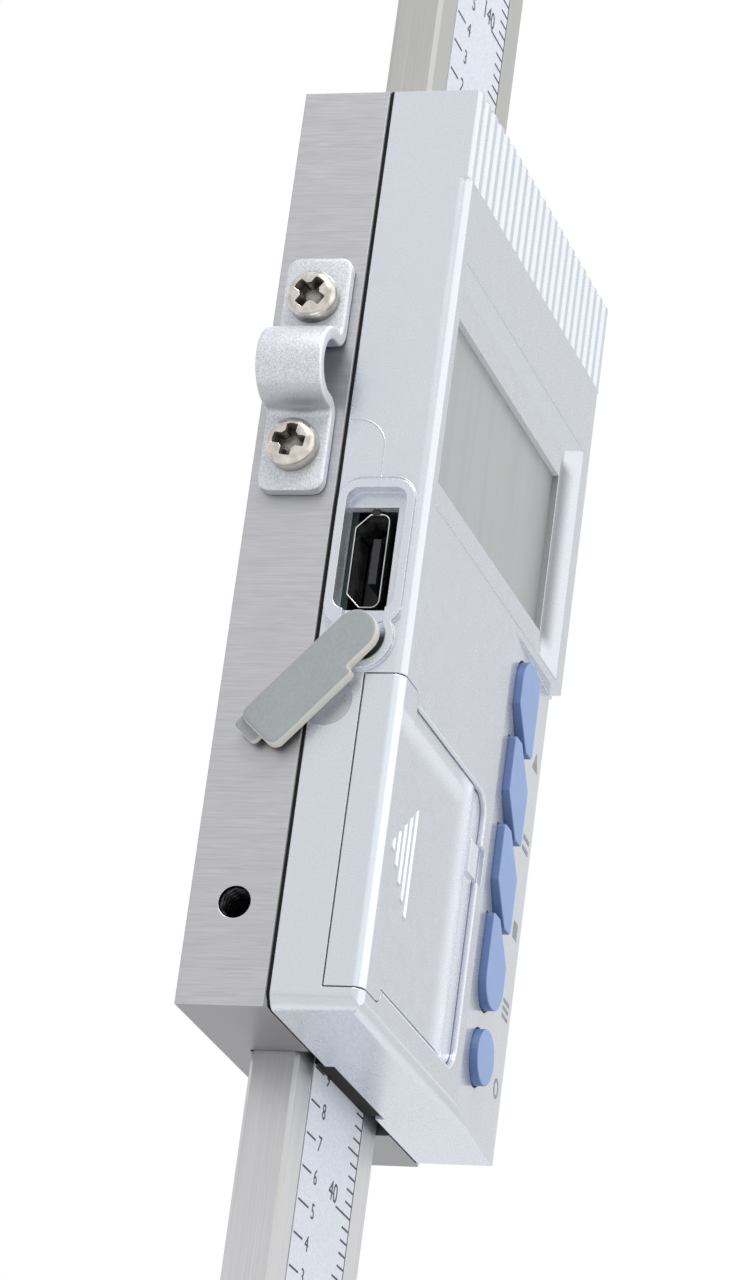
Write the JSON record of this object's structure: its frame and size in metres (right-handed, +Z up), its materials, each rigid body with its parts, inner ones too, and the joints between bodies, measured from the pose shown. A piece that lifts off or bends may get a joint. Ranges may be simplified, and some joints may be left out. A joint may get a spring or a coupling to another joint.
{
  "type": "digital linear scale",
  "caption": "Digital linear scale: a steel-backed readout head with display, keys, battery door and covered data port that slides on a graduated steel beam.",
  "frame": {"origin": "middle of the lower pair of beam bolt holes, on the back face of the beam", "axes": "+Z up the beam along the head's travel, the display faces -Y, +X is to the right of the display"},
  "size_m": [0.0447, 0.0148, 0.274],
  "materials": {
    "beam_steel": "brushed along the beam",
    "block_steel": "ground across the side",
    "strip_board": "etched laminate",
    "label_face": "matt printed film",
    "screw_steel": "plated",
    "screw_nickel": "bright nickel plate",
    "gib_brass": "rolled strip",
    "seal_black": "matt",
    "case_silver": "fine silver paint",
    "board_green": "solder mask",
    "lens_clear": "clear polished",
    "lcd_grey": "satin polariser",
    "cell_can": "satin can",
    "contact_metal": "nickel plated spring sheet",
    "shell_chrome": "bright plate",
    "tongue_black": "moulded",
    "clip_silver": "speckled silver paint",
    "cover_grey": "moulded",
    "button_blue": "moulded"
  },
  "bodies": {
    "beam": {"beam": "beam_steel", "scale_strip": "strip_board", "scale_label": "label_face", "stop_pins": "screw_steel"},
    "battery_door": {"battery_door": "case_silver"},
    "port_cover": {"port_cover": "cover_grey"},
    "button_1": {"button_1": "button_blue"},
    "button_2": {"button_2": "button_blue"},
    "button_3": {"button_3": "button_blue"},
    "button_4": {"button_4": "button_blue"},
    "button_5": {"button_5": "button_blue"},
    "head": {"slider_block": "block_steel", "gib_strip": "gib_brass", "gib_screws": "screw_steel", "gasket": "seal_black", "front_case": "case_silver", "case_screws": "screw_steel", "lower_wiper": "seal_black", "upper_wiper": "seal_black", "main_board": "board_green", "sensor_board": "board_green", "window_lens": "lens_clear", "lcd_panel": "lcd_grey", "connector_strip": "seal_black", "battery_cell": "cell_can", "minus_leaf": "contact_metal", "plus_clip": "contact_metal", "key_switches": "contact_metal", "usb_shell": "shell_chrome", "usb_tongue": "tongue_black", "cable_clip": "clip_silver", "clip_screws": "screw_nickel"}
  },
  "joints": [
    {"name": "head_slide", "type": "slide", "parent": "beam", "child": "head", "axis": [0, 0, 1], "range_m": [-0.0481, 0.1019]},
    {"name": "battery_door_slide", "type": "slide", "parent": "head", "child": "battery_door", "axis": [-1, 0, 0], "range_m": [0, 0.026]},
    {"name": "port_cover_swing", "type": "hinge", "parent": "head", "child": "port_cover", "pos_m": [-0.0205, -0.008, 0.09875], "axis": [1, 0, 0], "range_deg": [-41.4, 138.6]},
    {"name": "button_1_press", "type": "slide", "parent": "head", "child": "button_1", "axis": [0, 1, 0], "range_m": [0, 0.0005], "stiffness_N_per_m": 300},
    {"name": "button_2_press", "type": "slide", "parent": "head", "child": "button_2", "axis": [0, 1, 0], "range_m": [0, 0.0005], "stiffness_N_per_m": 300},
    {"name": "button_3_press", "type": "slide", "parent": "head", "child": "button_3", "axis": [0, 1, 0], "range_m": [0, 0.0005], "stiffness_N_per_m": 300},
    {"name": "button_4_press", "type": "slide", "parent": "head", "child": "button_4", "axis": [0, 1, 0], "range_m": [0, 0.0005], "stiffness_N_per_m": 300},
    {"name": "button_5_press", "type": "slide", "parent": "head", "child": "button_5", "axis": [0, 1, 0], "range_m": [0, 0.0005], "stiffness_N_per_m": 300}
  ]
}
